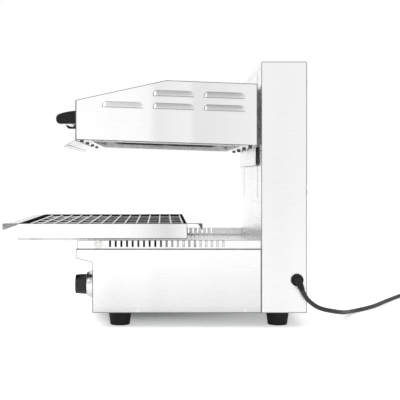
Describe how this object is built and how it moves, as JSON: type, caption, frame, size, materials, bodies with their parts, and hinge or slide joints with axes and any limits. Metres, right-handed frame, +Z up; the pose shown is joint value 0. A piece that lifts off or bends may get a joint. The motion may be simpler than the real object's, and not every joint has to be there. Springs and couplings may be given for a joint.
{
  "type": "cheese melter",
  "caption": "Electric grill with a heated hood that rises and falls along a rear column over a sliding tray with a drip pan and a wire grid, and a mains lead with a plug.",
  "frame": {"origin": "on the table under the middle of the machine without its mains lead", "axes": "+X to the right seen from the front, -Y to the front, +Z up"},
  "size_m": [0.5675, 1.066, 0.53],
  "materials": {
    "steel": "brushed stainless sheet",
    "zinc": "zinc-coated sheet and bars",
    "chrome": "bright chromed wire and dished bezel",
    "reflector": "bright aluminised sheet",
    "tube": "heat-darkened element tube",
    "pan": "steel drip pan, dull inside",
    "handle": "black moulded plastic, fine grain",
    "knob": "black moulded plastic, satin",
    "rubber": "black rubber",
    "cord": "dark grey rubber sheath",
    "nylon": "white nylon",
    "blanket": "mineral wool felt",
    "block": "cream moulded plastic",
    "lamp": "clear red lens",
    "weight": "painted steel slab",
    "screw": "bright screws"
  },
  "bodies": {
    "stand": {"base_side_left": "steel", "base_side_right": "steel", "base_front_panel": "steel", "deck": "steel", "bottom_plate": "zinc", "front_feet": "rubber", "rear_feet": "rubber", "foot_bolts": "zinc", "panel_screws": "screw", "column_side_left": "steel", "column_side_right": "steel", "column_front": "steel", "column_back": "steel", "column_cap": "steel", "guide_bars": "zinc", "guide_rail_left": "steel", "guide_rail_right": "steel", "roller_pins": "zinc", "knob_bezel": "chrome", "thermostat": "zinc", "pilot_lamps": "lamp", "terminal_block": "block", "shaft_bearings": "zinc", "lift_chain_turns": "zinc", "lift_chain_front": "zinc", "lift_chain_back": "zinc", "hood_lead": "cord", "cable_gland": "rubber", "mains_cord": "cord", "mains_cord_coil": "cord", "mains_plug": "rubber"},
    "hood": {"lift_plate": "steel", "lift_arms": "zinc", "lift_crosshead": "zinc", "glide_pads": "nylon", "hood_side_left": "steel", "hood_side_right": "steel", "hood_top_cover": "steel", "hood_front_panel": "steel", "hood_back_panel": "steel", "hood_visor": "steel", "hood_front_strip": "steel", "hood_rear_strip": "steel", "reflector": "reflector", "insulation_blanket": "blanket", "heating_elements": "tube", "element_hangers": "zinc", "handle": "handle"},
    "weight": {"counterweight": "weight"},
    "shaft": {"lift_shaft": "zinc", "chain_wheels": "zinc"},
    "tray_carriage": {"runner_left": "steel", "runner_right": "steel", "carriage_cross_bars": "zinc"},
    "pan": {"drip_pan": "pan"},
    "grid": {"grid": "chrome"},
    "roller_left": {"guide_roller_left": "nylon"},
    "roller_right": {"guide_roller_right": "nylon"},
    "knob": {"control_knob": "knob", "thermostat_spindle": "zinc"}
  },
  "joints": [
    {"name": "hood_lift", "type": "slide", "parent": "stand", "child": "hood", "axis": [0, 0, 1], "range_m": [-0.103, 0.03], "deforming": ["hood_lead", "lift_chain_front"]},
    {"name": "weight_slide", "type": "slide", "parent": "stand", "child": "weight", "axis": [0, 0, 1], "range_m": [-0.0301, 0.1031], "deforming": ["lift_chain_back"]},
    {"name": "shaft_turn", "type": "hinge", "parent": "stand", "child": "shaft", "pos_m": [0, 0.27, 0.497], "axis": [1, 0, 0], "range_deg": [-72, 246.5]},
    {"name": "tray_slide", "type": "slide", "parent": "stand", "child": "tray_carriage", "axis": [0, 1, 0], "range_m": [-0.06, 0.114]},
    {"name": "roller_left_turn", "type": "hinge", "parent": "stand", "child": "roller_left", "pos_m": [-0.2213, -0.113, 0.1666], "axis": [1, 0, 0], "range_deg": [-800, 421]},
    {"name": "roller_right_turn", "type": "hinge", "parent": "stand", "child": "roller_right", "pos_m": [0.2213, -0.113, 0.1666], "axis": [1, 0, 0], "range_deg": [-800, 421]},
    {"name": "pan_lift", "type": "slide", "parent": "tray_carriage", "child": "pan", "axis": [0, 0, 1], "range_m": [0, 0.01]},
    {"name": "grid_lift", "type": "slide", "parent": "pan", "child": "grid", "axis": [0, 0, 1], "range_m": [0, 0.01]},
    {"name": "knob_turn", "type": "hinge", "parent": "stand", "child": "knob", "pos_m": [0.165, -0.15, 0.081], "axis": [0, 1, 0], "range_deg": [0, 270]}
  ],
  "couplings": [
    {"joint": "weight_slide", "follows": "hood_lift", "ratio": -1},
    {"joint": "shaft_turn", "follows": "hood_lift", "rad_per_m": -41.667},
    {"joint": "roller_left_turn", "follows": "tray_slide", "rad_per_m": -121.95},
    {"joint": "roller_right_turn", "follows": "tray_slide", "rad_per_m": -121.95}
  ]
}
